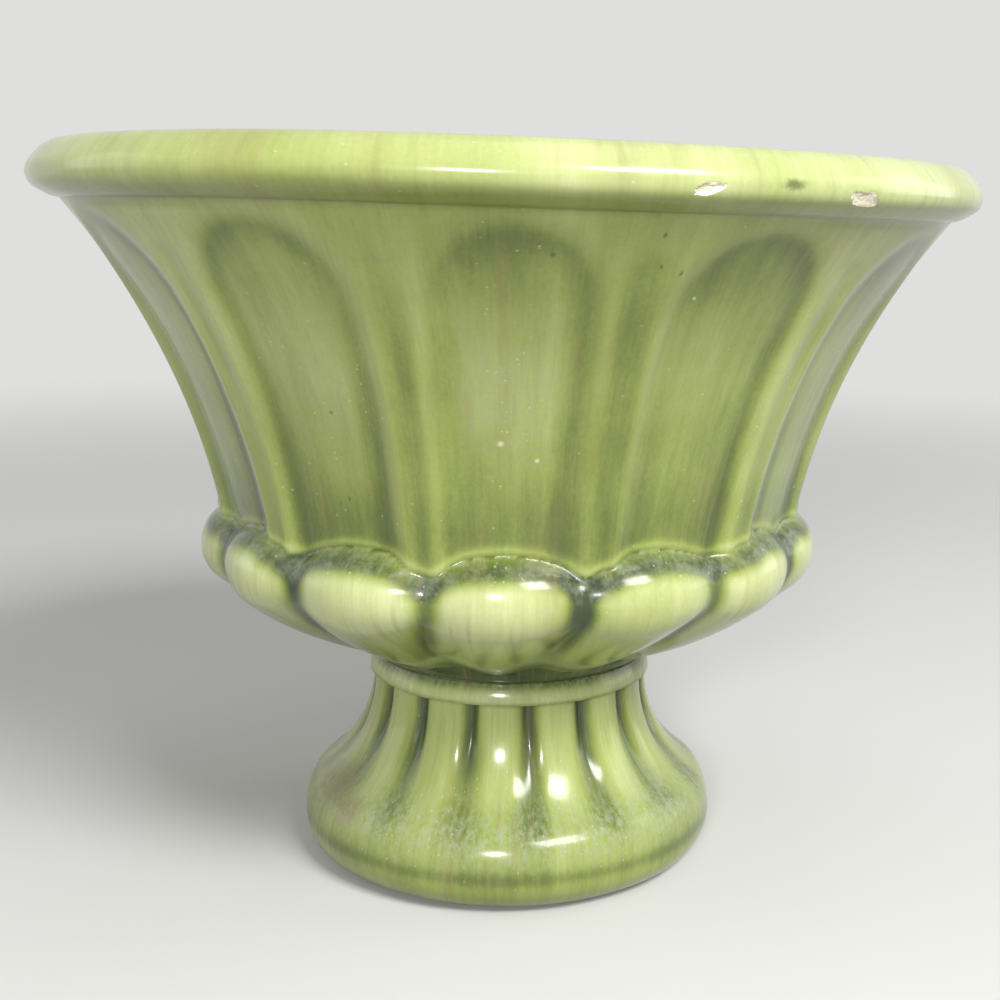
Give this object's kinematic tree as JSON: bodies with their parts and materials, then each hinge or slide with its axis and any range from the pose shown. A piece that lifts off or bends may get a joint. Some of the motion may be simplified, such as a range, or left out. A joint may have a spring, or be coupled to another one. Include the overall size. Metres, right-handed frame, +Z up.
{
  "type": "urn vase",
  "caption": "Glazed earthenware pedestal urn with a flared, panelled bowl, rolled lip, belt of gadroon lobes and a reeded spreading foot; holds plants or cut flowers.",
  "frame": {"origin": "centre of the foot ring, on the resting surface", "axes": "+Z up along the turning axis; -Y is the front, with a panel and a lobe in its middle"},
  "size_m": [0.2, 0.2, 0.156],
  "materials": {
    "earthenware": "dry fired clay, pale buff with a pink tint",
    "slip": "dry fired clay slip",
    "glaze": "glossy olive-green glaze, yellower on the crests and grey-green where it pools"
  },
  "bodies": {
    "root": {"bowl_casting": "earthenware", "pedestal_casting": "earthenware", "joint_slip": "slip", "bowl_glaze": "glaze", "liner_glaze": "glaze", "pedestal_glaze": "glaze"}
  },
  "joints": []
}
